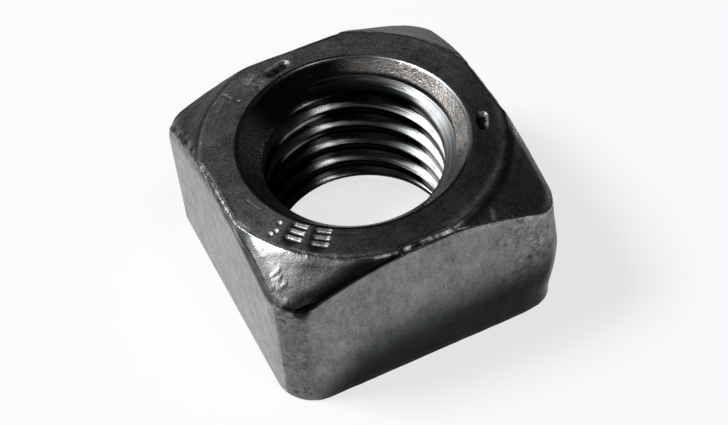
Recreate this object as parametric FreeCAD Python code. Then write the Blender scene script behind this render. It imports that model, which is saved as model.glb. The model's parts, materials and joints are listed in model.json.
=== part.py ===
import FreeCAD, Part
import math
import os

# Square nut, forged in steel, chamfered on its upper face and tapped with a coarse right-hand thread.
# Millimetres, +Z up. The origin is where the thread's axis meets the bottom bearing face.
# The broad front side looks along -Y and the left side along -X.

# Forged block
across_flats = 27.8
thickness = 16.2
hole_shift_y = 0.4              # the hole sits this far behind the middle of the block
corner_radius_front_left = 3.8
corner_radius_front_right = 2.4
corner_radius_back_right = 2.4
corner_radius_back_left = 1.3

# Chamfer, turned about the hole, which leaves a round bearing face on top
face_circle_reach = 0.2         # how far that circle reaches past the sides
chamfer_angle = 32.5            # degrees below the face
face_rim_round = 0.6            # between the face and the chamfer

# Worn edges of the block
upper_edge_bevel = 0.25         # where the sides meet the chamfer
lower_edge_round = 0.4          # around the bottom bearing face

# Thread, 3/4 inch with 10 threads to the inch, right-hand
thread_major_diameter = 19.1
pitch = 2.54
flank_angle = 30.0              # degrees, each flank from the plane across the axis
crest_wear = 0.12               # taken off each crest, beyond the basic profile
groove_height = 1.83            # middle of the groove above the bottom face, on the +X side

# Countersinks at both mouths of the hole
upper_countersink_diameter = 21.3
lower_countersink_diameter = 19.8
countersink_angle = 47.0        # degrees below the face
mouth_bevel = 0.2               # between each countersink and its face

# Worked out from the sizes above
half_flats = across_flats / 2
face_circle_radius = half_flats + face_circle_reach
upper_mouth_radius = upper_countersink_diameter / 2
lower_mouth_radius = lower_countersink_diameter / 2
major_radius = thread_major_diameter / 2
flank_slope = math.tan(math.radians(flank_angle))
sharp_height = pitch / 2 / flank_slope
thread_depth = sharp_height * 5 / 8 - crest_wear
minor_radius = major_radius - thread_depth
root_flat = pitch / 8

up = FreeCAD.Vector(0, 0, 1)
origin = FreeCAD.Vector(0, 0, 0)
touching = 1e-4


def block_outline():
    """The rounded square of the sides, as a closed wire in the bottom plane."""
    left = -half_flats
    right = half_flats
    front = -half_flats - hole_shift_y
    back = half_flats - hole_shift_y
    corners = [
        (right, back, corner_radius_back_right),
        (left, back, corner_radius_back_left),
        (left, front, corner_radius_front_left),
        (right, front, corner_radius_front_right),
    ]
    arcs = []
    for quarter, (x, y, radius) in enumerate(corners):
        centre = FreeCAD.Vector(x - math.copysign(radius, x), y - math.copysign(radius, y), 0)
        start = quarter * math.pi / 2
        arcs.append(Part.Arc(Part.Circle(centre, up, radius), start, start + math.pi / 2).toShape())
    edges = []
    for arc, following in zip(arcs, arcs[1:] + arcs[:1]):
        edges.append(arc)
        edges.append(Part.LineSegment(arc.Vertexes[-1].Point, following.Vertexes[0].Point).toShape())
    return Part.Wire(edges)


def turned(half_section):
    """A solid of revolution about the hole's axis, from (radius, height) points."""
    points = [FreeCAD.Vector(radius, 0, height) for radius, height in half_section]
    return Part.Face(Part.makePolygon(points + points[:1])).revolve(origin, up, 360)


def circle_edges(shape, radius, height):
    """The shape's full circles of this radius and height about the hole's axis."""
    found = []
    for edge in shape.Edges:
        if isinstance(edge.Curve, Part.Circle) and abs(edge.Curve.Radius - radius) < touching:
            if abs(edge.Curve.Center.z - height) < touching:
                found.append(edge)
    return found


def chamfered_block():
    """The square block with its upper corners turned down around the round bearing face."""
    block = Part.Face(block_outline()).extrude(up * thickness)
    beyond_corners = across_flats
    fall = (beyond_corners - face_circle_radius) * math.tan(math.radians(chamfer_angle))
    envelope = turned([
        (0, 0),
        (beyond_corners, 0),
        (beyond_corners, thickness - fall),
        (face_circle_radius, thickness),
        (0, thickness),
    ])
    rim = circle_edges(envelope, face_circle_radius, thickness)
    return block.common(envelope.makeFillet(face_rim_round, rim))


def worn(block):
    """The block with its outer edges worn, rounded below the sides and bevelled above them."""
    lower = []
    upper = []
    for face in block.Faces:
        stands_on_bottom = face.BoundBox.ZMin < touching and face.BoundBox.ZLength > touching
        if stands_on_bottom:
            lower += [edge for edge in face.Edges if edge.BoundBox.ZMax < touching]
            upper += [edge for edge in face.Edges if edge.BoundBox.ZMin > touching]
    return block.makeFillet(lower_edge_round, lower).makeChamfer(upper_edge_bevel, upper)


def countersunk(block):
    """The block with a cone sunk into each face, and the mouths bevelled."""
    slope = math.tan(math.radians(countersink_angle))
    upper_tip = thickness - upper_mouth_radius * slope
    lower_tip = lower_mouth_radius * slope
    upper_cone = turned([(0, upper_tip), (upper_mouth_radius, thickness), (0, thickness)])
    lower_cone = turned([(0, lower_tip), (0, 0), (lower_mouth_radius, 0)])
    sunk = block.cut([upper_cone, lower_cone])
    mouths = circle_edges(sunk, lower_mouth_radius, 0) + circle_edges(sunk, upper_mouth_radius, thickness)
    return sunk.makeChamfer(mouth_bevel, mouths)


def helix_path(turns):
    """A helix on the thread's roots from the bottom plane up, with one edge for each turn."""
    edges = []
    for turn in range(turns):
        coil = Part.makeHelix(pitch, pitch, major_radius)
        coil.translate(up * (turn * pitch))
        edges += coil.Edges
    return Part.Wire(edges)


def thread_groove():
    """The helical groove between the threads, longer than the hole at both ends."""
    inner_radius = minor_radius - 2 * crest_wear
    half_root = root_flat / 2
    half_mouth = half_root + (major_radius - inner_radius) * flank_slope
    profile = [
        FreeCAD.Vector(inner_radius, 0, -half_mouth),
        FreeCAD.Vector(major_radius, 0, -half_root),
        FreeCAD.Vector(major_radius, 0, half_root),
        FreeCAD.Vector(inner_radius, 0, half_mouth),
    ]
    turns_below = 2
    turns_above = math.ceil(thickness / pitch) + 1
    path = helix_path(turns_below + turns_above)
    groove = path.makePipeShell([Part.makePolygon(profile + profile[:1])], True, True)
    groove.translate(up * (groove_height - turns_below * pitch))
    return groove


def hole_through(radius):
    """A round bar through both faces. Its side is in thirds, so that no crest is one face all the way round.

    The seams between the thirds stay clear of the +X side, where each turn of the groove begins.
    """
    first_seam = math.pi / 2
    third = 2 * math.pi / 3
    circle = Part.Circle(up * -pitch, up, radius)
    arcs = []
    for n in range(3):
        start = first_seam + n * third
        arcs.append(Part.Arc(circle, start, start + third).toShape())
    return Part.Face(Part.Wire(arcs)).extrude(up * (thickness + 2 * pitch))


def tapped(block):
    """The block with its threaded hole."""
    return block.cut(thread_groove()).cut(hole_through(minor_radius))


def main():
    nut = tapped(countersunk(worn(chamfered_block())))
    os.makedirs("parts", exist_ok=True)
    nut.exportStep("parts/square_nut.step")
    print("square_nut", nut.isValid(), round(nut.Volume, 2), len(nut.Solids), len(nut.Faces))


main()
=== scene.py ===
import functools
import json
import math

import bpy
import numpy as np
from mathutils import Matrix, Vector


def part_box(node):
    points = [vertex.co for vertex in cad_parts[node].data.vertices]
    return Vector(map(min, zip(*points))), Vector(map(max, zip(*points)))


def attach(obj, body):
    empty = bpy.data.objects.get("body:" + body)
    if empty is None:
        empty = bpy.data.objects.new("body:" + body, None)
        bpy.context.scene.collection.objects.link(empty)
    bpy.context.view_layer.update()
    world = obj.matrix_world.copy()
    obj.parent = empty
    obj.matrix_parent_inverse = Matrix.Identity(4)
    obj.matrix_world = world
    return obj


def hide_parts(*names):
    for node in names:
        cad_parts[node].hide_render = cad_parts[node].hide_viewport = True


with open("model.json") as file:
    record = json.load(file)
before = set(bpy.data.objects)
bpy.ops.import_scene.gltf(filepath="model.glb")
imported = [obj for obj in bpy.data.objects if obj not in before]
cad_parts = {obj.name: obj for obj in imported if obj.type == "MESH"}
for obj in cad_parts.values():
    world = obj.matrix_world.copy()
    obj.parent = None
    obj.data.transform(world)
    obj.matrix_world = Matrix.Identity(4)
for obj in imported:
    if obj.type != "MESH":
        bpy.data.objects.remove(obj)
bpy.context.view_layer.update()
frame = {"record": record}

# The forged square nut, rebuilt as one fine mesh around the frame's solid.
# Lengths are in millimetres until the mesh is made, and angles are in degrees unless they say otherwise.
# A direction is an angle about the hole's axis: 0 is the right side, 90 the back, 180 the left side and
# 270 the front. The corner nearest the camera is at 225.
# An arc is two directions and the width of its fade at each end. One that starts below 0 passes 0.

MM = 0.001

# Read from the frame
low_corner, high_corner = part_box("square_nut")
half_flats = (high_corner.x - low_corner.x) / 2 / MM
thickness = high_corner.z / MM
middle_y = (low_corner.y + high_corner.y) / 2 / MM
thread_mount = next(m for m in frame["record"]["mounts"] if m["name"] == "thread")
crest_radius = thread_mount["dims"]["r_mm"]

# Block. The corners' radii go by the signs of x and y.
corner_radii = {(-1, -1): 3.8, (1, -1): 2.4, (1, 1): 2.4, (-1, 1): 1.3}
face_circle_radius = half_flats + 0.2
chamfer_angle = 32.5
lower_edge_round = 0.18

# Round between the upper face and the chamfer
rim_round = 0.5
sharp_rim_round, sharp_rim_arc = 0.25, (200, 236, 8)        # by the bright wedge at the near corner
worn_rim_round, worn_rim_arc = 1.2, (100, 160, 10)          # round the corner at the left

# Round between the chamfer and the sides
upper_edge_round = 0.38
worn_edge_round, worn_edge_arc = 1.1, (204, 220, 6)         # at the near corner, along the left side
left_edge_round, left_edge_arc = 0.6, (129, 203, 5)         # between that corner and the far left one
front_edge_round, front_edge_arc = 0.65, (260, 290, 5)      # in the middle of the front side
right_edge_round, right_edge_arc = 0.3, (-48, 35, 6)        # along the right side

# Hole
upper_mouth_radius = 10.65
lower_mouth_radius = 9.9
countersink_angle = 47.0
mouth_round = 0.42
root_radius = 9.55
pitch = 2.54
flank_angle = 30.0
root_flat = pitch / 8
groove_height = 1.83            # of the groove's middle, in direction 0
edge_softness = 0.07

# Marks in the upper face, their places given as (radius, direction)
bar_groups = (220.4, 231.4)
bar_half_angle = 2.8
bar_radii = (11.2, 11.96, 12.72)
bar_bed = (0.8, 0.3)            # half width and width of the wall
dot_places = ((11.72, 211.0), (12.63, 212.2), (13.14, 211.2))
dot_shape = (0.2, 0.16, 0.14)   # half width, depth and width of the wall
slots = (
    ((11.84, 106.2), (11.92, 98.4), 0.55, 0.3, 0.25),
    ((12.0, 343.9), (11.8, 337.7), 0.5, 0.3, 0.28),
)
full_mark_depth = 0.24
rough_patch = (-5.39, 10.76, thickness)

# Scratches, each from one (x, y) to another, with its half width and its depth
scratches = (
    ((-8.34, 11.06), (-7.85, 10.04), 0.07, 0.06),
    ((-7.42, 9.5), (-7.34, 9.44), 0.14, 0.08),
    ((-11.54, -2.17), (-11.02, -3.66), 0.05, 0.04),
    ((-10.35, -3.7), (-10.27, -3.88), 0.07, 0.05),
)
scratch_wall = 0.05

# Bright ridges left on the chamfer, each from one (x, y) to another
near_ridges = (
    ((-12.74, -10.06), (-12.06, -10.1)),
    ((-12.84, -10.45), (-12.12, -10.61)),
    ((-12.98, -10.82), (-12.5, -10.91)),
    ((-12.75, -11.24), (-11.99, -11.32)),
    ((-13.1, -12.17), (-12.55, -12.7)),
)
right_end_ridges = (
    ((7.33, -13.13), (7.11, -14.06)),
    ((8.9, -13.95), (8.85, -14.2)),
)
ridges = near_ridges + right_end_ridges

# Brown stains on the chamfer at the near corner, with their sizes
near_stains = (
    ((-12.1, -11.9, 14.3), 0.7),
    ((-9.7, -11.1, 15.8), (0.9, 0.6, 1.0)),
)

# Bright flecks along the front of the upper face, partly painted highlight, each from one direction to
# another
front_highlight_flecks = (
    (252, 257.5), (259.7, 261.2), (263, 265.5), (269.5, 271.3),
    (272.3, 274.2), (275.5, 276.5), (277.5, 282), (283.3, 287),
)

# Corners of the block
near_corner = 225.0
near_chamfer_arc = (192, 258)
near_roll_tip = (-11.5, -14.2, 13.3)        # lowest point of the roll in the near chamfer, which is painted black as shade
painted_shade_tip = (-11.8, -13.85, 13.32)          # where the roll's painted black shade runs down onto the front side
left_corner = (-13.6, 13.2, 13.3)           # tip of the worn corner at the left of the upper face
right_corner_arc = (308, 324)
right_bulge_height = 7.3                    # of the middle of the bulge in the corner at the right
right_bulge = 0.4
right_foot_inset = 0.35                     # how far the foot of that corner is worn in

# Mesh
outer_columns = 600
bore_columns = outer_columns // 2

# Steel. The ramp turns tone into colour, and tones run from 0 for black to 1 for white.
tone_ramp = (
    (0.0, (0.0, 0.0, 0.0)),
    (0.03, (0.026, 0.031, 0.033)),
    (0.12, (0.121, 0.120, 0.119)),
    (0.4, (0.415, 0.400, 0.395)),
    (1.0, (1.0, 0.97, 0.95)),
)
brown_tint = (1.0, 0.86, 0.74, 1)
steel_of_part = {
    "face": "pressed", "below": "pressed", "rim": "pressed",
    "mouth": "cut", "mouth_below": "cut", "bore": "cut", "cone": "punched",
}

# Camera
camera_azimuth = -21.402
camera_elevation = 49.345
camera_roll = -5.730
camera_distance = 159.72
camera_target = (-0.460, -2.090, 8.108)
camera_lens = 84.26

# Floor and background, with the floor's half width in metres
floor_half = 3.0
floor_grey = 0.35
floor_glow = 0.72
world_grey = 0.04

chamfer_tilt = math.radians(chamfer_angle)
cone_tilt = math.radians(countersink_angle)
top_slope = math.tan(chamfer_tilt)
cone_slope = math.tan(cone_tilt)
flank_slope = math.tan(math.radians(flank_angle))

# Large odd numbers that scramble a lattice point's place
axis_primes = (73856093, 19349663, 83492791)
seed_prime = 2654435761
scrambles = ((13, 1274126177), (15, 668265263))
largest = 0x7FFFFFFF


def lattice_noise(points, size, seed):
    """Smooth noise from -1 to 1 that varies over about size millimetres. size may differ by axis."""
    q = points / np.asarray(size, float)
    cell = np.floor(q).astype(np.int64)
    part = q - cell
    ease = part * part * (3 - 2 * part)
    total = np.zeros(len(points))
    for corner in range(8):
        step = np.array([corner & 1, corner >> 1 & 1, corner >> 2 & 1])
        weight = np.prod(np.where(step, ease, 1 - ease), axis=1)
        mixed = np.bitwise_xor.reduce((cell + step) * axis_primes, axis=1) ^ (seed * seed_prime)
        for shift, prime in scrambles:
            mixed = (mixed ^ (mixed >> shift)) * prime & largest
        total += weight * (mixed / (largest // 2) - 1)
    return total


def rise(low, high, x):
    """Goes smoothly from 0 to 1 as x goes from low to high."""
    t = np.clip((x - low) / (high - low), 0, 1)
    return t * t * (3 - 2 * t)


def fall(low, high, x):
    return 1 - rise(low, high, x)


def between(angle, low, high, blend):
    """One between two directions, fading to nothing over blend to each side of both."""
    if low < 0:
        angle = (angle + 180) % 360 - 180
    return rise(low - blend, low + blend, angle) * fall(high - blend, high + blend, angle)


def soft_max(a, b, softness):
    near = np.maximum(softness - np.abs(a - b), 0) / softness
    return np.maximum(a, b) + near * near * softness / 4


def soft_min(a, b, softness):
    return -soft_max(-a, -b, softness)


def polar(radius, direction):
    angle = math.radians(direction)
    return radius * math.cos(angle), radius * math.sin(angle)


def past_outline(x, y):
    """Distance outside the block's rounded outline, negative inside."""
    y = y - middle_y
    radius = np.zeros_like(x)
    for (sx, sy), corner in corner_radii.items():
        radius = np.where((np.sign(x + 1e-9) == sx) & (np.sign(y + 1e-9) == sy), corner, radius)
    qx = np.abs(x) - half_flats + radius
    qy = np.abs(y) - half_flats + radius
    past_corner = np.hypot(np.maximum(qx, 0), np.maximum(qy, 0))
    return past_corner + np.minimum(np.maximum(qx, qy), 0) - radius


def side_reach(angle):
    """How far the block's side is from the hole's axis, for angles in radians."""
    halvings = 40
    near = np.full_like(angle, half_flats - 2)
    far = np.full_like(angle, half_flats * 1.5)
    for _ in range(halvings):
        middle = (near + far) / 2
        out = past_outline(middle * np.cos(angle), middle * np.sin(angle)) > 0
        far = np.where(out, middle, far)
        near = np.where(out, near, middle)
    return (near + far) / 2


def column_angles():
    """Angles of the mesh's columns in radians, closer at the near corner."""
    samples = 4096
    extra_columns, extra_width = 0.9, 24
    fine = np.linspace(0, 2 * np.pi, samples + 1)
    reach = side_reach(fine)
    along = np.hypot(np.diff(reach * np.cos(fine)), np.diff(reach * np.sin(fine)))
    turn = np.full(samples, 2 * np.pi / samples)
    middle = (fine[1:] + fine[:-1]) / 2
    close = np.exp(-((np.degrees(middle) - near_corner) / extra_width) ** 2)
    weight = (0.5 * along / along.sum() + 0.5 * turn / turn.sum()) * (1 + extra_columns * close)
    reached = np.concatenate([[0], np.cumsum(weight)])
    return np.interp(np.arange(outer_columns) / outer_columns * reached[-1], reached, fine)


def rim_bend(degrees):
    """Radius of the round between the upper face and the chamfer, in each direction."""
    bend = rim_round + (sharp_rim_round - rim_round) * between(degrees, *sharp_rim_arc)
    return bend + (worn_rim_round - rim_round) * between(degrees, *worn_rim_arc)


def edge_bend(degrees):
    """Radius of the round between the chamfer and the sides, in each direction."""
    at_worn = between(degrees, *worn_edge_arc)
    at_left = between(degrees, *left_edge_arc) * (1 - at_worn)
    bend = upper_edge_round + (worn_edge_round - upper_edge_round) * at_worn
    bend += (left_edge_round - upper_edge_round) * at_left
    bend += (front_edge_round - upper_edge_round) * between(degrees, *front_edge_arc)
    return bend + (right_edge_round - upper_edge_round) * between(degrees, *right_edge_arc)


def top_profile(r, bend):
    """Height of the face, the rim and the chamfer at this radius, and their tilt in radians."""
    start = face_circle_radius - bend * math.tan(math.radians(chamfer_angle / 2))
    end = start + bend * math.sin(chamfer_tilt)
    arc = thickness - bend + np.sqrt(np.maximum(bend**2 - np.clip(r - start, 0, bend) ** 2, 0))
    line = thickness - (r - face_circle_radius) * top_slope
    height = np.where(r < start, thickness, np.where(r < end, arc, line))
    tilt = np.arcsin(np.clip((r - start) / bend, 0, math.sin(chamfer_tilt)))
    return height, tilt


def mouth_profile(turn):
    """How far the round at a mouth reaches in and down where its surface is tilted by turn."""
    turn = math.radians(turn)
    return mouth_round * math.sin(turn), mouth_round * (1 - math.cos(turn))


def upper_rows(edge, bend):
    """Rows from the upper mouth out to the edge round, each as radius, height and part."""
    mouth_out = upper_mouth_radius + mouth_round * math.tan(math.radians(countersink_angle / 2))
    rim_width = bend * math.sin(chamfer_tilt)
    rim_in = soft_min(np.full_like(edge, face_circle_radius - 0.17), edge - 0.3, 0.3)
    rim_out = soft_min(np.full_like(edge, face_circle_radius - 0.13 + rim_width), edge - 0.06, 0.2)
    for turn in np.linspace(countersink_angle, 0, 5):
        inward, down = mouth_profile(turn)
        yield mouth_out - inward, thickness - down, "mouth"
    face_steps, rim_steps, chamfer_steps = 31, 5, 18
    for n in range(1, face_steps):
        r = mouth_out + (rim_in - mouth_out) * n / face_steps
        yield r, top_profile(r, bend)[0], "face"
    for n in range(rim_steps + 1):
        r = rim_in + (rim_out - rim_in) * n / rim_steps
        yield r, top_profile(r, bend)[0], "rim"
    for n in range(1, chamfer_steps):
        r = rim_out + (edge - rim_out) * n / chamfer_steps
        yield r, top_profile(r, bend)[0], "chamfer"


def side_rows(reach, edge_round, edge_centre, tilt):
    """Rows from the edge round down the side, closer at its top, and round its foot."""
    edge_steps, side_steps, foot_rows = 8, 24, 4
    for n in range(edge_steps + 1):
        turn = tilt + (np.pi / 2 - tilt) * n / edge_steps
        r = reach - edge_round + edge_round * np.sin(turn)
        yield r, edge_centre + edge_round * np.cos(turn), "edge"
    for n in range(1, side_steps):
        share = (n / side_steps) ** 1.25
        yield reach, edge_centre + (lower_edge_round - edge_centre) * share, "side"
    for turn in np.linspace(0, np.pi / 2, foot_rows):
        r = reach - lower_edge_round * (1 - math.cos(turn))
        yield r, lower_edge_round * (1 - math.sin(turn)), "edge_below"


def lower_rows(reach):
    """Rows from the foot of the side in to the lower mouth."""
    below_steps, mouth_rows = 7, 4
    below_in = lower_mouth_radius + mouth_round * math.tan(math.radians(countersink_angle / 2))
    for n in range(1, below_steps):
        share = (n / below_steps) ** 0.8
        yield reach - lower_edge_round + (below_in - reach + lower_edge_round) * share, 0, "below"
    for turn in np.linspace(0, countersink_angle, mouth_rows):
        inward, up = mouth_profile(turn)
        yield below_in - inward, up, "mouth_below"


def outer_rows(angle):
    """Radius and height of each row at each angle, from mouth to mouth outside, and each row's part."""
    degrees = np.degrees(angle)
    reach = side_reach(angle)
    bend = rim_bend(degrees)
    edge_round = edge_bend(degrees)
    edge = reach - edge_round
    for _ in range(12):
        tilt = top_profile(edge, bend)[1]
        edge = reach - edge_round * (1 - np.sin(tilt))
    edge_centre = top_profile(edge, bend)[0] - edge_round * np.cos(tilt)
    sides = side_rows(reach, edge_round, edge_centre, tilt)
    r, z, parts = zip(*upper_rows(edge, bend), *sides, *lower_rows(reach))
    flat = np.ones_like(angle)
    return np.array([row * flat for row in r]), np.array([row * flat for row in z]), parts


def climb(angle):
    """How far the thread climbs from direction 0, for angles in radians."""
    return pitch * angle / (2 * np.pi)


def thread_radius(angle, z):
    """Radius of the threaded wall."""
    from_groove = np.abs((z - groove_height - climb(angle) + pitch / 2) % pitch - pitch / 2)
    flank = root_radius - (from_groove - root_flat / 2) / flank_slope
    return soft_max(soft_min(flank, root_radius, edge_softness), crest_radius, edge_softness)


def bore_radius(angle, z):
    """Radius of the whole bore, with the countersinks at both mouths."""
    upper = upper_mouth_radius - (thickness - z) / cone_slope
    lower = lower_mouth_radius - z / cone_slope
    wall = thread_radius(angle, z)
    return soft_max(soft_max(wall, upper, edge_softness), lower, edge_softness)


def thread_rows():
    """Heights of the mesh's rows within one turn, from the groove's middle up."""
    half_root = root_flat / 2
    half_mouth = half_root + (root_radius - crest_radius) * flank_slope
    flank = np.linspace(half_root + 0.05, half_mouth - 0.06, 5)
    crest = [half_mouth + 0.02, pitch / 2, pitch - half_mouth - 0.02]
    return np.array(sorted([-half_root * 0.6, half_root * 0.6, *flank, *crest, *(pitch - flank[::-1])]))


class Grid:
    """The nut's mesh as it grows: points in millimetres, faces, and the part that each is on."""

    def __init__(self):
        self.points = []
        self.point_parts = []
        self.faces = []
        self.face_parts = []

    def add_points(self, r, angle, z, parts):
        """Adds points and returns the number of the first."""
        first = len(self.point_parts)
        self.points.append(np.stack([r * np.cos(angle), r * np.sin(angle), z], -1).reshape(-1, 3))
        self.point_parts += parts
        return first

    def add_face(self, corners, part):
        self.faces.append(tuple(int(corner) for corner in corners))
        self.face_parts.append(part)


def add_outside(grid, angle):
    """Adds everything outside the mouths and returns the number of rows."""
    r, z, parts = outer_rows(angle)
    grid.add_points(r, angle, z, [part for part in parts for _ in range(outer_columns)])
    for row, part in enumerate(parts[1:]):
        this, following = row * outer_columns, (row + 1) * outer_columns
        for column in range(outer_columns):
            after = (column + 1) % outer_columns
            grid.add_face((this + column, following + column, following + after, this + after), part)
    return len(parts)


def add_ring(grid, angle, height):
    """Adds one level ring of points on the bore and returns their numbers."""
    z = np.full(bore_columns, height)
    first = grid.add_points(bore_radius(angle, z), angle, z, ["cone"] * bore_columns)
    return first + np.arange(bore_columns)


def add_bore(grid, angle):
    """Adds the wall, in rows that climb with the thread, and returns its two level end rings."""
    inset = mouth_round * math.sin(cone_tilt) * 0.9
    margin = 0.05
    top, bottom = thickness - inset, inset
    top_ring = add_ring(grid, angle, top)
    bottom_ring = add_ring(grid, angle, bottom)
    offsets = thread_rows()
    turns = range(-2, math.ceil(thickness / pitch) + 1)
    nominal = np.concatenate([groove_height + pitch * turn + offsets for turn in turns])
    height = nominal[:, None] + climb(angle)[None, :]
    above = height > top - margin
    within = ~above & (height >= bottom + margin)
    z = height[within]
    wall_angle = angle[np.nonzero(within)[1]]
    first = grid.add_points(bore_radius(wall_angle, z), wall_angle, z, ["bore"] * len(z))
    number = np.where(above, top_ring[None, :], bottom_ring[None, :])
    number[within] = first + np.arange(len(z))
    after_last = np.full(len(nominal), top_ring[0])
    after_last[:-len(offsets)] = number[len(offsets):, 0]
    number = np.column_stack([number, after_last])
    for row in range(len(nominal) - 1):
        for b in range(bore_columns):
            corners = [number[row + 1, b], number[row + 1, b + 1], number[row, b + 1], number[row, b]]
            kept = [corner for n, corner in enumerate(corners) if corner != corners[(n + 1) % 4]]
            if len(set(kept)) == len(kept) and len(kept) > 2:
                grid.add_face(kept, "bore")
    return top_ring, bottom_ring


def join_mouths(grid, top_ring, bottom_ring, row_count):
    """Adds the faces between each end of the bore and its mouth, which has twice the columns."""
    for b in range(bore_columns):
        after = (b + 1) % bore_columns
        for ring, row in ((top_ring, 0), (bottom_ring, row_count - 1)):
            outer = [row * outer_columns + (2 * b + n) % outer_columns for n in range(3)]
            for corners in (
                (ring[b], outer[0], outer[1]),
                (ring[b], outer[1], ring[after]),
                (ring[after], outer[1], outer[2]),
            ):
                grid.add_face(corners if row == 0 else corners[::-1], "cone")


def build_grid():
    grid = Grid()
    angle = column_angles()
    row_count = add_outside(grid, angle)
    join_mouths(grid, *add_bore(grid, angle[::2]), row_count)
    return grid


def from_stroke(points, start, end):
    """Distance of each point, seen from above, from a straight stroke."""
    start, end = np.array(start, float), np.array(end, float)
    along = end - start
    share = np.clip(((points[:, :2] - start) @ along) / (along @ along), 0, 1)
    return np.linalg.norm(points[:, :2] - start - share[:, None] * along, axis=1)


def bar_lines():
    """The plain bars beside the near corner, from end to end."""
    return [
        (polar(radius, middle - bar_half_angle), polar(radius, middle + bar_half_angle))
        for middle in bar_groups
        for radius in bar_radii
    ]


def bar_beds():
    """The shallow bed that each group of bars is pressed into, along its middle."""
    beds = [middle - 0.8 for middle in bar_groups]
    return [(polar(bar_radii[0], middle), polar(bar_radii[-1], middle)) for middle in beds]


def sunk_marks(points):
    """Depth of the slots, the dots and the scratches in the upper face."""
    depth = np.zeros(len(points))

    def stroke(start, end, half_width, deep, wall):
        inside = fall(half_width - wall, half_width + wall * 0.4, from_stroke(points, start, end))
        np.maximum(depth, deep * inside, out=depth)

    for start, end, half_width, deep, wall in slots:
        stroke(polar(*start), polar(*end), half_width, deep, wall)
    for radius, direction in dot_places:
        stroke(polar(radius, direction), polar(radius, direction + 0.3), *dot_shape)
    for start, end, half_width, deep in scratches:
        stroke(start, end, half_width, deep, scratch_wall)
    return depth


class Place:
    """Where each point of the mesh is, in the terms that relief and finish are described in."""

    def __init__(self, points, normal, part):
        self.points = points
        self.part = part
        self.x, self.y, self.z = points.T
        self.leftward = -normal[:, 0]
        self.frontward = -normal[:, 1]
        self.upward = normal[:, 2]
        self.radius = np.hypot(self.x, self.y)
        self.angle = np.degrees(np.arctan2(self.y, self.x)) % 360
        self.turned = (self.angle + 180) % 360 - 180
        reach = side_reach(np.radians(self.angle))
        self.edge_gap = reach - self.radius
        self.below_edge = thickness - np.maximum(reach - face_circle_radius, 0) * top_slope - self.z
        self.face = self.among("face")
        self.rim = self.among("rim")
        self.chamfer = self.among("chamfer")
        self.edge = self.among("edge")
        self.slope = self.among("chamfer", "edge")
        self.sides = self.among("side", "edge_below", "edge")
        self.bore = self.among("bore")
        self.forged = self.among("chamfer", "edge", "side", "edge_below")
        # painted shade: rises towards the front right, where the faces and the rim are darkened as shade
        self.painted_shade_side = rise(-0.1, 0.8, (0.5 * self.x - 0.87 * self.y) / 12.2)
        self.right_wall = self.towards(14, 0.4, 0.7)

    def among(self, *names):
        return np.isin(self.part, names).astype(float)

    def noise(self, size, seed):
        return lattice_noise(self.points, size, seed)

    def spot(self, centre, size):
        """One at the centre, falling off over about size millimetres."""
        away = (self.points - np.array(centre)) / np.array(size)
        return np.exp(-(away**2).sum(1))

    def face_spot(self, radius, direction, *size):
        """A spot on the upper face. size is its width along x and along y."""
        return self.spot((*polar(radius, direction), thickness), (*size, 1.0))

    def ring(self, radius, width):
        return np.exp(-((self.radius - radius) / width) ** 2)

    def arc(self, low, high, blend=4.0):
        return between(self.angle, low, high, blend)

    def towards(self, direction, low, high):
        """Rises as the cosine of the angle from this direction rises from low to high."""
        return rise(low, high, np.cos(np.radians(self.angle - direction)))

    def strokes(self, lines, half_width, wall=0.08):
        """How far each point, seen from above, is inside any of these strokes, from 0 to 1."""
        inside = np.zeros(len(self.points))
        for start, end in lines:
            away = from_stroke(self.points, start, end)
            np.maximum(inside, fall(half_width - wall, half_width + wall, away), out=inside)
        return inside


def forged_depth(at):
    """Swells, pits and crinkles that the forging left on the outside."""
    near_chamfer = at.chamfer * at.arc(*near_chamfer_arc, 6.0)
    back_edge = at.arc(98, 134, 5.0) * rise(9.0, 15.0, at.z)
    swell = 0.05 * (1 + at.noise(7.0, 1)) + 0.025 * (1 + at.noise(2.4, 2))
    swell *= rise(-0.5, 2.0, at.z) * (1 - 0.75 * near_chamfer) * (1 - 0.85 * back_edge)
    pitted = 0.014 * (1 + at.noise(0.9, 3)) + 0.012 * (1 + at.noise(0.45, 4))
    pitted *= 1 - 0.5 * near_chamfer
    outward = 1 - 0.7 * rise(15.2, 16.6, at.radius)
    crinkled = at.slope * at.arc(195, 262) * 0.008 * outward * (1 + at.noise(0.55, 10))
    crinkled += at.chamfer * at.arc(206, 224) * 0.005 * (1 + at.noise(0.28, 26))
    calm = 1 - 0.75 * rise(0.77, 0.87, at.leftward)
    rim_end = face_circle_radius + 0.5 * at.arc(95, 165, 10.0)
    fade = 1 - at.chamfer * fall(rim_end, rim_end + 1.2, at.radius)
    fibres = at.chamfer * (0.4 + 0.6 * at.arc(90, 186, 8.0)) * (1 - at.arc(192, 262))
    depth = at.forged * calm * fade * (swell + pitted + crinkled)
    return depth + fibres * 0.016 * (1 + at.noise((0.5, 0.2, 0.5), 16))


def near_roll_depth(at):
    """The roll along the front of the near chamfer, and its tip."""
    roll_width = 1.45
    from_front = at.y - (middle_y - half_flats)
    roll = np.clip(1 - from_front / roll_width, 0, 1) ** 1.6 * at.slope * at.arc(229, 262, 3.0)
    tip = at.slope * at.spot(near_roll_tip, (1.0, 0.9, 1.6))
    return (0.4 * roll + 0.6 * tip) * rise(0.0, 0.5, at.upward)


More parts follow.
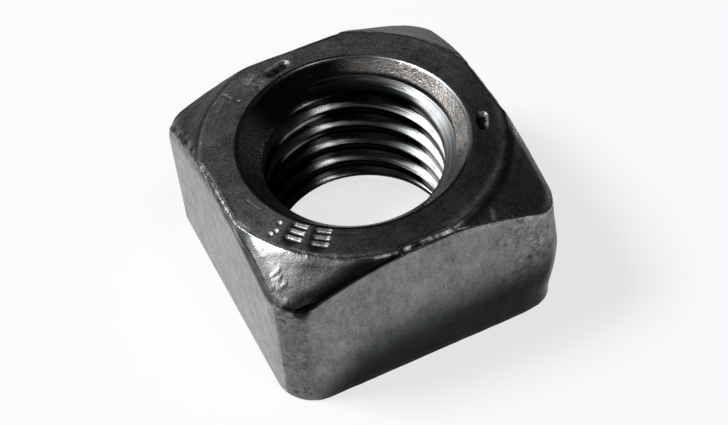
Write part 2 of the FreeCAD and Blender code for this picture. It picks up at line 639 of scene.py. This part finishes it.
def burr_depth(at):
    """The uneven rim of the upper face, and the uneven edges at the left and at the right corner."""
    rim = at.ring(face_circle_radius, 0.35) * (at.z > thickness - 0.5)
    rim *= (1 - at.arc(75, 168, 10.0)) * (1 - 0.8 * at.arc(202, 222))
    upper = at.among("chamfer", "edge", "side")
    left = upper * at.arc(138, 176) * fall(0.3, 1.1, at.edge_gap)
    left *= fall(0.5, 1.5, at.below_edge)
    right = upper * at.arc(299, 316) * fall(0.2, 0.8, at.edge_gap)
    right *= fall(0.3, 0.8, at.below_edge)
    depth = rim * (0.035 * (1 + at.noise(0.42, 5)) + 0.05 * (1 + at.noise(2.0, 6)))
    depth += left * (0.07 * (1 + at.noise(0.45, 8)) + 0.05 * (1 + at.noise(0.9, 24)))
    depth += right * 0.06 * (1 + at.noise(0.4, 23))
    return depth + 0.3 * at.spot(left_corner, 0.9)


def mark_depth(at):
    """The marks in the upper face, with the bars in their beds and the rough patch."""
    on_face = at.among("face", "mouth", "rim")
    depth = on_face * sunk_marks(at.points) * (1 + 0.25 * at.noise(0.35, 12))
    depth += on_face * 0.07 * at.strokes(bar_beds(), *bar_bed)
    depth += on_face * 0.2 * at.strokes(bar_lines(), 0.16, 0.11)
    return depth + at.face * at.spot(rough_patch, 1.0) * 0.04 * (1 + at.noise(0.35, 7))


def surface_depth(at):
    """How far each point is sunk below the plain form. It is negative in the bulge at the right."""
    ridge_height = 0.09
    depth = forged_depth(at) + near_roll_depth(at) + burr_depth(at)
    depth = np.maximum(depth - ridge_height * at.strokes(ridges, 0.13) * at.chamfer, 0)
    from_bulge = (at.z - right_bulge_height) / 3.2
    depth -= right_bulge * at.forged * at.arc(*right_corner_arc) * np.exp(-(from_bulge**2))
    return depth + mark_depth(at)


class Finish:
    """The steel at each point: its tone, which carries painted light and shade in places, and how rough,
    brown, blotched and smooth it is.
    """

    def __init__(self, at):
        self.tone = np.full(len(at.points), 0.13)
        self.rough = np.full(len(at.points), 0.42)
        self.brown = np.zeros(len(at.points))
        self.wear_and_painted_light = np.zeros(len(at.points))
        self.soft = at.slope * at.arc(*near_chamfer_arc)

    def lay(self, where, **values):
        """Lays the new values over those below, as fully as where says from 0 to 1."""
        share = np.clip(where, 0, 1)
        for name, value in values.items():
            below = getattr(self, name)
            setattr(self, name, below + (value - below) * share)

    def wear(self, where):
        self.wear_and_painted_light = np.maximum(self.wear_and_painted_light, where)


def finish_sides(finish, at):
    """The sides: painted light makes the left side palest, and painted shade fades the front to black
    towards its foot.
    """
    finish.lay(at.sides, tone=0.15)
    # painted shade: the front side fades to black towards its foot, and higher up towards the right
    painted_shade_height = 6.5 + 0.1 * at.x - 4.5 * fall(-13.0, -5.0, at.x)
    painted_front_shade = 0.002 + 0.185 * rise(painted_shade_height - 3.6, painted_shade_height + 3.6, at.z)
    finish.lay(at.sides * rise(0.75, 0.95, at.frontward), tone=painted_front_shade)
    under_edge = at.sides * at.arc(262, 322) * fall(0.3, 1.0, at.below_edge)
    finish.tone *= 1 + 0.4 * under_edge * rise(-0.4, 0.3, at.noise((1.5, 1.5, 0.6), 22))
    # painted light: the side facing left is made paler than the others
    finish.lay(at.sides * rise(0.78, 0.84, at.leftward), tone=0.335)


def wear_sides(finish, at):
    """The ragged top of the left side, the wrinkled near corner and the worn right corner."""
    ragged_top = at.sides * at.arc(137, 176) * fall(0.2, 1.8, at.below_edge)
    finish.lay(ragged_top, tone=0.2 - 0.09 * rise(-0.2, 0.3, at.noise(0.6, 27)))
    finish.wear(ragged_top)
    wavering = at.angle + 0.4 * at.noise((1.0, 1.0, 0.7), 30)
    wrinkled = rise(220.5, 221.9, wavering) * fall(229.0, 233.0, wavering)
    patchy = rise(-0.5, 0.4, at.noise(1.6, 18))
    finish.lay(at.sides * wrinkled, tone=0.13)
    finish.wear(1.8 * at.sides * wrinkled * patchy)
    # painted shade: black where the roll's shade runs down onto the front side
    finish.lay(5 * at.sides * at.spot(painted_shade_tip, (0.55, 0.6, 0.68)), tone=0.004)
    right_corner = at.sides * at.arc(298, 324, 6.0) * rise(3.0, 6.0, at.z)
    finish.wear(1.4 * right_corner * (0.4 + 0.6 * patchy))


def left_chamfer_tone(at):
    """Tone of the chamfer at the left, painted shade that fades from pale at the rim to dark as the
    surface tilts away from the face.
    """
    pale, dark = 0.25, 0.042
    tilted = np.clip((1 - at.upward) / (1 - math.cos(chamfer_tilt)), 0, 1)
    return pale * (dark / pale) ** rise(0.08, 0.75, tilted)


def finish_chamfer(finish, at):
    """The chamfer away from the near corner."""
    # painted light and shade: each side of the chamfer has its own tone, set by how bright that side
    # looks under the lamps
    finish.lay(at.chamfer * at.arc(0, 90), tone=0.038)
    finish.lay(at.chamfer * at.arc(90, 190), tone=left_chamfer_tone(at))
    finish.lay(at.chamfer * at.arc(270, 356), tone=0.11)
    ragged = at.slope * at.arc(138, 172) * fall(0.4, 1.4, at.edge_gap)
    finish.lay(ragged * rise(-0.5, 0.3, at.noise(0.5, 25)), tone=0.24)


def finish_near_corner(finish, at):
    """The chamfer at the near corner: dark, with a painted lit field, a painted highlight wedge, and a
    worn edge with painted shade as it turns up.
    """
    # painted shade: the near corner's slope is dark, darker still along the roll at the front
    finish.lay(at.slope * at.arc(188, 262), tone=0.05 - 0.035 * at.arc(227, 262))
    # painted light: a lit field on the chamfer, brighter near the rim
    painted_lit_field = at.chamfer * rise(-13.95, -12.55, at.y) * at.arc(204, 249, 3.0)
    by_rim = fall(14.4, 16.4, at.radius) * (1 - at.arc(236, 270, 8.0))
    finish.lay(painted_lit_field, tone=0.24 + 0.12 * by_rim)
    # painted highlight: a bright wedge by the rim
    wedge_end = face_circle_radius + 0.95 * at.arc(208, 217, 4.5)
    painted_highlight_wedge = fall(-0.2, 0.2, at.radius - wedge_end) * at.arc(206, 221, 2.0)
    finish.lay(at.chamfer * painted_highlight_wedge, tone=0.45)
    finish.lay(1.4 * painted_lit_field * at.spot((-8.8, -11.3, 15.9), (1.9, 0.8, 1.0)), tone=0.13)
    finish.lay(painted_lit_field * (1 - painted_highlight_wedge), brown=0.45)
    for centre, size in near_stains:
        finish.lay(at.chamfer * at.spot(centre, size), brown=1.0)
    ragged_gap = at.edge_gap + 0.15 * at.noise(0.5, 31)
    wear_and_painted_light = at.slope * at.arc(190, 221) * fall(0.9, 2.2, ragged_gap) * (1 - painted_highlight_wedge)
    # painted shade: the worn edge darkens as it turns upward
    painted_upward_shade = 0.215 + 0.07 * at.arc(180, 206)
    finish.lay(wear_and_painted_light, tone=0.335 - painted_upward_shade * rise(0.0, 0.55, at.upward), rough=0.6)
    finish.wear(0.35 * wear_and_painted_light)
    finish.lay(at.chamfer * at.strokes(near_ridges, 0.26, 0.12), tone=0.15)
    finish.lay(at.chamfer * at.strokes(ridges, 0.11), tone=0.4)
    finish.lay(painted_lit_field, rough=0.38)
    finish.lay(at.edge * at.arc(221, 224, 1.0), tone=0.22)


def finish_faces(finish, at):
    """The upper and lower faces: painted shade darker to the front right, painted light paler at the
    left and the back.
    """
    # painted light and shade: paler spots at the left front and the back, darker ones at the right front
    # and the front
    painted_light_left_front = at.spot((-11.0, -5.5, thickness), 3.2)
    painted_shade_right_front = at.spot((9.5, -8.0, thickness), 4.5)
    front = at.spot((1.0, -12.0, thickness), 5.0)
    back = rise(4.0, 11.0, at.y)
    tone = 0.24 - 0.11 * at.painted_shade_side + 0.1 * painted_light_left_front - 0.05 * painted_shade_right_front
    finish.lay(at.among("face", "below"), tone=tone + 0.06 * back - 0.025 * front, rough=0.42)


def finish_rim(finish, at):
    """The rim of the upper face: painted shade darker to the front right, a painted highlight at the
    left and near corner, and two rings at the right.
    """
    finish.lay(at.rim, tone=0.22 - 0.1 * at.painted_shade_side)
    at_right = at.arc(-76, 48, 6.0)
    pale_ring = at.ring(13.65, 0.35) * (0.75 + 0.35 * at.noise(0.8, 29))
    finish.tone += 0.15 * at.among("face", "rim") * at_right * pale_ring
    dark_ring = at.ring(14.45, 0.3) * (0.65 - 0.35 * rise(-10, 10, at.turned))
    finish.tone *= 1 - at.among("chamfer", "rim") * at_right * dark_ring
    # painted highlight: the rim made bright at the left and near corner, where the lamp's glint falls
    painted_highlight_tone = 0.17 + 0.13 * at.arc(168, 204) + 0.43 * at.arc(205, 221)
    finish.lay(at.rim * at.arc(150, 222), tone=painted_highlight_tone)
    speckle = 1 + 1.2 * rise(0.3, 0.8, at.noise(0.25, 17))
    # painted shade: the rim at the left darkens as it tilts, as the chamfer there does
    finish.lay(at.rim * at.arc(80, 160, 8.0), tone=left_chamfer_tone(at) * speckle)
    finish.lay(at.rim, rough=0.33 + 0.12 * at.arc(90, 180, 8.0))
    finish.lay(at.rim * at.arc(246, 296), tone=0.12)


def finish_left_edge(finish, at):
    """The worn edge along the left side, with painted shade darkening it as it turns upward and a thin
    painted glint of bright beads on its upper part.
    """
    beads = 0.15 + 0.85 * rise(-0.1, 0.5, at.noise(0.17, 9))
    # painted glint: bright where the edge faces nearly straight up, broken into beads
    line = np.exp(-((at.upward - 0.95) / 0.05) ** 2) * rise(160, 200, at.angle)
    # painted shade: the edge's tone falls as it turns upward
    tone = 0.2 - 0.12 * rise(0.55, 0.85, at.upward) + 0.04 * at.noise(0.5, 28)
    where = at.slope * at.arc(168, 204, 3.0) * rise(0.2, 0.5, at.upward)
    finish.lay(where, tone=tone + 0.8 * line * beads)


def finish_front_edge(finish, at):
    """The dark strip along the front of the upper face, its flecks that are partly painted highlight,
    and the painted black shade under the roll.
    """
    dark_strip = at.slope * at.arc(246, 288, 8.0) * rise(0.25, 0.6, at.upward)
    finish.lay(dark_strip, tone=0.05)
    on_edge = at.edge * rise(0.55, 0.75, at.upward)
    on_strip = at.among("rim", "chamfer") * at.ring(14.2, 0.14)
    highlight_flecks = sum(at.arc(start, end, 0.7) for start, end in front_highlight_flecks)
    # partly painted highlight: bright tone on the flecks, where the overhead lamp also glints
    finish.lay(highlight_flecks * np.maximum(on_edge, on_strip), tone=0.55 + 0.2 * at.noise(0.4, 21))
    # painted shade: the edge under the roll is made black
    painted_shade_under_roll = at.edge * at.arc(228, 262) * fall(0.985, 0.999, at.frontward)
    finish.lay(painted_shade_under_roll, tone=0.003)


def finish_right_edge(finish, at):
    """The worn edge along the right side, with a painted highlight along it and a painted bright fringe
    on the chamfer beside it.
    """
    fringe_width = 1.0
    along_right = at.arc(-45, 18, 5.0)
    painted_highlight_fringe = np.clip(1 - at.edge_gap / fringe_width, 0, 1) ** 1.5
    # painted highlight: a bright fringe on the chamfer and a white edge along the right side
    finish.tone += 1.8 * at.chamfer * along_right * painted_highlight_fringe
    finish.lay(at.edge * along_right, tone=1.0)


def countersinks(at):
    """Which points are on either countersink, and which on its open cone.

    The open cone is what is left of the upper one above the first groove that breaks into it.
    """
    from_upper = at.z - (thickness - (upper_mouth_radius - at.radius) * cone_slope)
    from_lower = at.z - (lower_mouth_radius - at.radius) * cone_slope
    away = np.minimum(np.abs(from_upper), np.abs(from_lower))
    cone = np.maximum(at.bore * fall(0.02, 0.1, away), at.among("cone"))
    roof = first_groove(at) + root_flat / 2 + root_radius * flank_slope
    above_groove = (roof - thickness + upper_mouth_radius * cone_slope) / (cone_slope + flank_slope)
    return cone, cone * rise(-0.08, 0.02, at.radius - above_groove)


def first_groove(at):
    """Height of the middle of the uppermost groove that is still whole, in each point's direction."""
    opens_at = thickness - (upper_mouth_radius - root_radius) * cone_slope + root_flat / 2
    lowest = groove_height + climb(np.radians(at.angle))
    return lowest + pitch * np.floor((opens_at - lowest) / pitch)


def finish_bore(finish, at, cone, open_cone):
    """The threaded wall, then the countersinks and the rounds at their mouths, with painted shade, a
    painted reflection and painted highlights in their tone.
    """
    # painted shade: the wall is darker to the left and lower down at the back
    painted_shade_low_back = at.arc(97, 165, 8.0) * fall(8.0, 11.0, at.z)
    wall_tone = 0.2 - 0.1 * at.arc(60, 200, 10.0) - 0.07 * painted_shade_low_back
    finish.lay(at.bore, tone=wall_tone, rough=0.27)
    # painted reflection: a pale band on the wall between directions 83 and 94
    finish.lay(at.bore * at.arc(83, 94), tone=0.4)
    first_flank = at.towards(-10, 0.93, 0.99) * (at.z > first_groove(at) - 0.55 * pitch)
    finish.lay(at.bore * first_flank, tone=0.22)
    finish.lay(cone, tone=0.03, rough=0.3 + 0.15 * at.right_wall)
    # painted light and shade: the open cone is paler at the right and far right and darker at the back
    far_right = at.towards(-8, 0.88, 0.97)
    open_tone = 0.25 + 0.14 * at.right_wall + 0.35 * far_right - 0.23 * at.arc(64, 135, 14.0)
    finish.lay(open_cone, tone=open_tone)
    # painted highlight: a bright arc on the mouths' rounds between 28 and 58, and paler at the right
    ragged = 0.5 + 0.5 * rise(-0.5, 0.2, at.noise((0.7, 0.7, 5.0), 14))
    mouth_tone = 0.12 + 0.45 * at.arc(28, 58, 5.0) * ragged + 0.25 * at.right_wall
    mouth_rough = 0.25 + 0.15 * at.right_wall * (1 - at.arc(20, 90))
    finish.lay(at.among("mouth", "mouth_below"), tone=mouth_tone, rough=mouth_rough)


def finish_crests(finish, at, open_cone):
    """The crests: painted black as shade, torn at the back, and at the right a painted highlight on
    crests and flanks. Returns those left dark.
    """
    thread = at.bore * (1 - open_cone)
    crest = thread * fall(0.02, 0.14, at.radius - crest_radius)
    crest_edge = thread * fall(0.15, 0.38, at.radius - crest_radius)
    # painted shade: the crest edges at the back and left are made black
    painted_shade_back = at.arc(127, 210, 6.0) + 0.75 * at.arc(102, 127, 6.0) * fall(9.5, 10.5, at.z)
    finish.lay(crest_edge * painted_shade_back, tone=0.02)
    torn = at.arc(93, 124, 8.0) * rise(7.5, 11.0, at.z)
    torn = torn * rise(-0.8, 0.2, at.noise((1.1, 1.1, 2.0), 20))
    torn_tone = 0.45 + 0.5 * rise(13.0, 13.8, at.z)
    # painted shade: the crests are black, apart from the torn ones at the back
    finish.lay(crest, tone=0.006 + torn_tone * torn, brown=0.5 * torn)
    # painted highlight: crests and flanks at the right made bright, on a boundary that climbs with
    # height
    starts = rise(-8.0, 8.0, at.turned + 5.5 * (at.z - 4.9))
    ends = rise(7.0, 24.0, at.turned - 8 * rise(11.5, 12.8, at.z))
    wear_and_painted_light = starts * (1 - ends) * (at.bore - open_cone) * (at.turned > -60)
    finish.lay(crest * wear_and_painted_light**2, tone=0.7)
    painted_flank_highlight = 0.6 - 0.3 * rise(12.3, 13.3, at.z)
    finish.lay(wear_and_painted_light * (1 - crest) * fall(2.0, 8.0, at.turned), tone=painted_flank_highlight)
    finish.lay(wear_and_painted_light, rough=0.4)
    return crest * (1 - wear_and_painted_light**2) * (1 - at.arc(-60, 8, 4.0))


def finish_marks(finish, at):
    """The marks in the upper face, with painted shade in their floors and a painted highlight on their
    walls, and the rough patch.
    """
    sunk = np.clip(sunk_marks(at.points) / full_mark_depth, 0, 1) * at.face
    wall = 4 * sunk * (1 - sunk)
    # painted shade: the floors of the marks are dark
    finish.lay(rise(0.75, 1.0, sunk), tone=0.04)
    # painted highlight on the marks' walls, dimmed at the ends of two slots; in the slot at 340, painted
    # shadow on its left half and a painted highlight on its right wall
    finish.lay(wall, tone=0.5)
    finish.lay(2 * wall * at.face_spot(12.0, 346.2, 0.5, 0.45), tone=0.1)
    finish.lay(2 * wall * at.face_spot(11.9, 96.0, 0.5, 0.6), tone=0.22)
    finish.lay(2 * np.minimum(3 * sunk, 1) * at.face_spot(11.6, 340.5, 0.35, 0.8), tone=0.015)
    finish.lay(2 * wall * at.face_spot(12.35, 340.3, 0.22, 0.8), tone=0.9)
    # painted shade: the bars' beds are dark
    finish.lay(at.face * at.strokes(bar_beds(), *bar_bed), tone=0.05)
    finish.lay(at.face * at.strokes(bar_lines(), 0.2, 0.1), tone=0.42, brown=0.4)
    patch_tone = 0.5 + 0.45 * at.noise(0.25, 19)
    finish.lay(at.face * at.spot(rough_patch, 1.1), tone=patch_tone, brown=0.6)


def surface_finish(at):
    """The finish of every point, and how far it is on the open cone and on a crest painted dark as
    shade.
    """
    finish = Finish(at)
    for lay_finish in (
        finish_sides, wear_sides, finish_chamfer, finish_near_corner, finish_faces,
        finish_rim, finish_left_edge, finish_front_edge, finish_right_edge,
    ):
        lay_finish(finish, at)
    cone, open_cone = countersinks(at)
    finish_bore(finish, at, cone, open_cone)
    painted_dark_crest = finish_crests(finish, at, open_cone)
    finish.lay(cone * at.right_wall, brown=0.8)
    finish_marks(finish, at)
    return finish, open_cone, painted_dark_crest


def relieved(points, normal, at):
    """The points with their relief and the right corner's worn foot, kept inside the block."""
    points = points - normal * surface_depth(at)[:, None]
    foot = at.arc(*right_corner_arc) * fall(0.0, 4.0, at.z)
    foot *= rise(11.0, 17.0, at.radius)
    points[:, :2] *= 1 - (right_foot_inset * foot / at.radius)[:, None]
    lowest = (-half_flats, middle_y - half_flats, 0)
    highest = (half_flats, middle_y + half_flats, thickness)
    return np.clip(points, lowest, highest)


def assign_steels(mesh, grid, open_cone, painted_dark_crest):
    """Gives each face its part's steel, or on the bore that of the open cone or a dark crest."""
    steels = {
        "forged": forged_steel(),
        "pressed": pressed_steel(),
        "cut": cut_steel("cut_steel"),
        "punched": punched_steel(),
        # painted shade: no brightening at a slant, so the crests painted black stay black
        "crest": cut_steel("crest_steel", 0.0),
    }
    for steel in steels.values():
        mesh.materials.append(steel)
    numbers = {name: n for n, name in enumerate(steels)}
    indices = []
    for face, part in zip(grid.faces, grid.face_parts):
        steel = steel_of_part.get(part, "forged")
        if part == "bore" and open_cone[list(face)].mean() > 0.5:
            steel = "punched"
        elif part == "bore" and painted_dark_crest[list(face)].mean() > 0.5:
            steel = "crest"
        indices.append(numbers[steel])
    mesh.polygons.foreach_set("material_index", indices)


def new_object(name, data):
    made = bpy.data.objects.new(name, data)
    bpy.context.scene.collection.objects.link(made)
    return made


def make_nut():
    grid = build_grid()
    points = np.concatenate(grid.points)
    mesh = bpy.data.meshes.new("nut_forging")
    mesh.from_pydata((points * MM).tolist(), [], grid.faces)
    normal = np.zeros(len(points) * 3, np.float32)
    mesh.vertices.foreach_get("normal", normal)
    normal = normal.reshape(-1, 3).astype(float)
    place = Place(points, normal, np.array(grid.point_parts))
    points = relieved(points, normal, place)
    mesh.vertices.foreach_set("co", (points * MM).astype(np.float32).ravel())
    finish, open_cone, painted_dark_crest = surface_finish(place)
    for name, values in vars(finish).items():
        mesh.attributes.new(name, "FLOAT", "POINT").data.foreach_set("value", values.astype(np.float32))
    assign_steels(mesh, grid, open_cone, painted_dark_crest)
    mesh.polygons.foreach_set("use_smooth", np.ones(len(mesh.polygons), bool))
    mesh.update()
    return new_object("nut_forging", mesh)


class Nodes:
    """A material's node tree, with short calls for the nodes that the finishes share."""

    def __init__(self, name):
        self.material = bpy.data.materials.new(name)
        self.material.use_nodes = True
        self.tree = self.material.node_tree
        self.shader = self.tree.nodes["Principled BSDF"]
        self.shader.inputs["Metallic"].default_value = 1.0

    def add(self, kind, inputs, output=0, **settings):
        node = self.tree.nodes.new("ShaderNode" + kind)
        for name, value in settings.items():
            setattr(node, name, value)
        for socket, value in inputs.items():
            if isinstance(value, bpy.types.NodeSocket):
                self.tree.links.new(value, node.inputs[socket])
            else:
                node.inputs[socket].default_value = value
        return node.outputs[output]

    def math(self, operation, a, b):
        return self.add("Math", {0: a, 1: b}, operation=operation)

    def total(self, *terms):
        return functools.reduce(lambda a, b: self.math("ADD", a, b), terms)

    def times(self, a, b):
        return self.math("MULTIPLY", a, b)

    def attribute(self, name):
        return self.add("Attribute", {}, "Fac", attribute_name=name)

    def place(self):
        return self.add("TexCoord", {}, "Object")

    def scaled(self, vector, scale):
        return self.add("VectorMath", {0: vector, 1: scale}, operation="MULTIPLY")

    def noise(self, vector, size, detail=2.0, roughness=0.6):
        """Noise from about -1 to 1, with features of about size millimetres."""
        inputs = {"Vector": vector, "Scale": 1 / (size * MM), "Detail": detail, "Roughness": roughness}
        return self.times(self.math("SUBTRACT", self.add("TexNoise", inputs), 0.5), 4.0)

    def turning_lines(self, place, fineness):
        """Noise drawn out round the hole's axis, fineness times as fine across as along."""
        radius = self.add("VectorMath", {0: self.scaled(place, (1, 1, 0))}, "Value", operation="LENGTH")
        x = self.add("SeparateXYZ", {0: place})
        height = self.add("SeparateXYZ", {0: place}, 2)
        along = self.total(self.times(x, 0.3), self.times(height, 0.5))
        across = self.times(radius, fineness)
        line_place = self.add("CombineXYZ", {0: along, 1: across, 2: self.times(height, 0.3)})
        return self.noise(line_place, 1.1, 2, 0.5)

    def tone_colour(self, variation):
        """Colour from the tone attribute, varied by a factor around one."""
        factor = self.math("MAXIMUM", self.total(variation, 1.0), 0.15)
        ramp = self.tree.nodes.new("ShaderNodeValToRGB")
        self.tree.links.new(self.times(self.attribute("tone"), factor), ramp.inputs[0])
        while len(ramp.color_ramp.elements) < len(tone_ramp):
            ramp.color_ramp.elements.new(0.5)
        for element, (position, colour) in zip(ramp.color_ramp.elements, tone_ramp):
            element.position = position
            element.color = (*colour, 1)
        return ramp.outputs[0]

    def finish(self, variation, height, bump, rough_change):
        """Joins up colour, brown stain and roughness, and relief that is bump millimetres deep."""
        clean = self.tone_colour(variation)
        tint = {0: 1.0, 6: clean, 7: brown_tint}
        tinted = self.add("Mix", tint, 2, data_type="RGBA", blend_type="MULTIPLY")
        stain = self.total(self.noise(self.place(), 0.5), 0.6)
        stain = self.add("Clamp", {0: self.times(self.attribute("brown"), stain)})
        colour = self.add("Mix", {0: stain, 6: clean, 7: tinted}, 2, data_type="RGBA")
        rough = self.total(self.attribute("rough"), rough_change)
        rough = self.add("Clamp", {0: rough, 1: 0.12, 2: 0.8})
        relief = self.add("Bump", {"Height": height, "Distance": bump * MM, "Strength": 1.0})
        for name, value in (("Base Color", colour), ("Roughness", rough), ("Normal", relief)):
            self.tree.links.new(value, self.shader.inputs[name])
        return self.material


def forged_steel():
    """Scale on the sides and chamfers: upright streaks, mottling, fine grain and worn blotches."""
    nodes = Nodes("forged_steel")
    place = nodes.place()
    streak = nodes.noise(nodes.scaled(place, (1, 1, 0.4)), 0.5, 4)
    mottle = nodes.noise(place, 2.2, 4)
    grain = nodes.noise(place, 0.2, 2)
    speck = nodes.noise(nodes.scaled(place, (1, 0.15, 1)), 0.3, 1)
    speck = nodes.add("MapRange", {0: speck, 1: 0.85, 2: 1.15, 3: 0.0, 4: -0.3})
    blotch = nodes.times(nodes.noise(place, 0.6, 3, 0.7), nodes.attribute("wear_and_painted_light"))
    hard = nodes.math("SUBTRACT", 1.0, nodes.times(nodes.attribute("soft"), 0.6))
    streaked = nodes.total(speck, nodes.times(streak, 0.28), nodes.times(mottle, 0.26))
    variation = nodes.times(nodes.total(streaked, nodes.times(grain, 0.45)), hard)
    variation = nodes.total(variation, nodes.times(blotch, 0.6))
    height = nodes.total(grain, nodes.times(streak, 0.8), nodes.times(blotch, 2.0))
    return nodes.finish(variation, nodes.times(height, hard), 0.009, nodes.times(grain, 0.05))


def pressed_steel():
    """The flat faces: fine even speckle over faint clouds and faint turning lines."""
    nodes = Nodes("pressed_steel")
    place = nodes.place()
    cloud = nodes.noise(place, 1.8, 3)
    speckle = nodes.noise(place, 0.17, 2, 0.7)
    lines = nodes.turning_lines(place, 3.0)
    variation = nodes.total(nodes.times(cloud, 0.2), nodes.times(speckle, 0.7), nodes.times(lines, 0.22))
    return nodes.finish(variation, speckle, 0.006, nodes.times(cloud, 0.03))


def cut_steel(name, edge_tint=1.0):
    """The thread and the mouths: cut metal with fine turning lines.

    edge_tint is the brightness of what it reflects at a slant. At 0 a crest painted dark as shade stays
    dark.
    """
    nodes = Nodes(name)
    nodes.shader.inputs["Specular Tint"].default_value = (edge_tint, edge_tint, edge_tint, 1)
    place = nodes.place()
    lines = nodes.turning_lines(place, 4.5)
    mottle = nodes.noise(place, 0.4, 3, 0.65)
    variation = nodes.total(nodes.times(lines, 0.4), nodes.times(mottle, 0.06))
    return nodes.finish(variation, lines, 0.012, nodes.times(lines, 0.05))


def punched_steel():
    """The countersinks' cones: dull, with short curling ridges."""
    nodes = Nodes("punched_steel")
    place = nodes.place()
    curl = nodes.math("ABSOLUTE", nodes.noise(place, 0.42, 2, 0.5), 0.0)
    mottle = nodes.noise(place, 1.1, 3)
    ridge = nodes.math("SUBTRACT", 0.5, curl)
    variation = nodes.total(nodes.times(ridge, 0.8), nodes.times(mottle, 0.35))
    return nodes.finish(variation, ridge, 0.02, nodes.times(ridge, -0.06))


nut = make_nut()
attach(nut, "root")
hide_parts("square_nut")


def add_camera():
    azimuth, elevation, roll = (math.radians(x) for x in (camera_azimuth, camera_elevation, camera_roll))
    level = math.cos(elevation)
    back = Vector((math.sin(azimuth) * level, -math.cos(azimuth) * level, math.sin(elevation)))
    right = (-back).cross(Vector((0, 0, 1))).normalized()
    upward = right.cross(-back)
    rolled_right = math.cos(roll) * right + math.sin(roll) * upward
    rolled_up = -math.sin(roll) * right + math.cos(roll) * upward
    place = (Vector(camera_target) + back * camera_distance) * MM
    aim = Matrix((rolled_right, rolled_up, back)).transposed().to_4x4()
    camera_data = bpy.data.cameras.new("camera")
    camera_data.lens = camera_lens
    camera_data.clip_start = 0.005
    camera = new_object("camera", camera_data)
    camera.matrix_world = Matrix.Translation(place) @ aim
    bpy.context.scene.camera = camera


def pale_floor():
    """A floor that camera and reflections see as near white, and that takes the nut's shadow."""
    nodes = Nodes("pale_floor")
    camera_ray, glossy_ray, clear_ray = (
        nodes.add("LightPath", {}, f"Is {kind} Ray") for kind in ("Camera", "Glossy", "Transmission")
    )
    seen = nodes.math("MAXIMUM", nodes.math("MAXIMUM", camera_ray, glossy_ray), clear_ray)
    diffuse = nodes.add("BsdfDiffuse", {"Color": (floor_grey, floor_grey, floor_grey, 1)})
    glow = nodes.add("Emission", {"Color": (1, 1, 1, 1), "Strength": nodes.times(seen, floor_glow)})
    both = nodes.add("AddShader", {0: diffuse, 1: glow})
    nodes.tree.links.new(both, nodes.tree.nodes["Material Output"].inputs["Surface"])
    nodes.tree.nodes.remove(nodes.shader)
    return nodes.material


def add_floor():
    mesh = bpy.data.meshes.new("floor")
    corners = [(x * floor_half, y * floor_half, 0) for x, y in ((-1, -1), (1, -1), (1, 1), (-1, 1))]
    mesh.from_pydata(corners, [], [(0, 1, 2, 3)])
    mesh.materials.append(pale_floor())
    new_object("floor", mesh)


def add_softbox(name, direction, size, strength, colour=(1, 1, 1)):
    """A square soft light with a side of size metres, strength being the radiance of its face."""
    distance = 0.9
    light = bpy.data.lights.new(name, "AREA")
    light.shape = "RECTANGLE"
    light.size = light.size_y = size
    light.color = colour
    light.energy = strength * size * size * math.pi
    lamp = new_object(name, light)
    toward = Vector(direction).normalized()
    lamp.location = toward * distance
    lamp.rotation_mode = "QUATERNION"
    lamp.rotation_quaternion = toward.to_track_quat("Z", "Y")


def add_world():
    world = bpy.data.worlds.new("studio")
    bpy.context.scene.world = world
    world.use_nodes = True
    background = world.node_tree.nodes["Background"]
    background.inputs["Color"].default_value = (world_grey, world_grey, world_grey, 1)
    background.inputs["Strength"].default_value = 1.0


add_camera()
add_floor()
add_softbox("key", (-0.53, 0.29, 0.79), 0.3, 21.0, colour=(0.9, 0.96, 1.0))
add_softbox("overhead", (0.18, -0.3, 0.93), 0.2, 7.0)
add_world()
bpy.context.scene.view_settings.view_transform = "Standard"
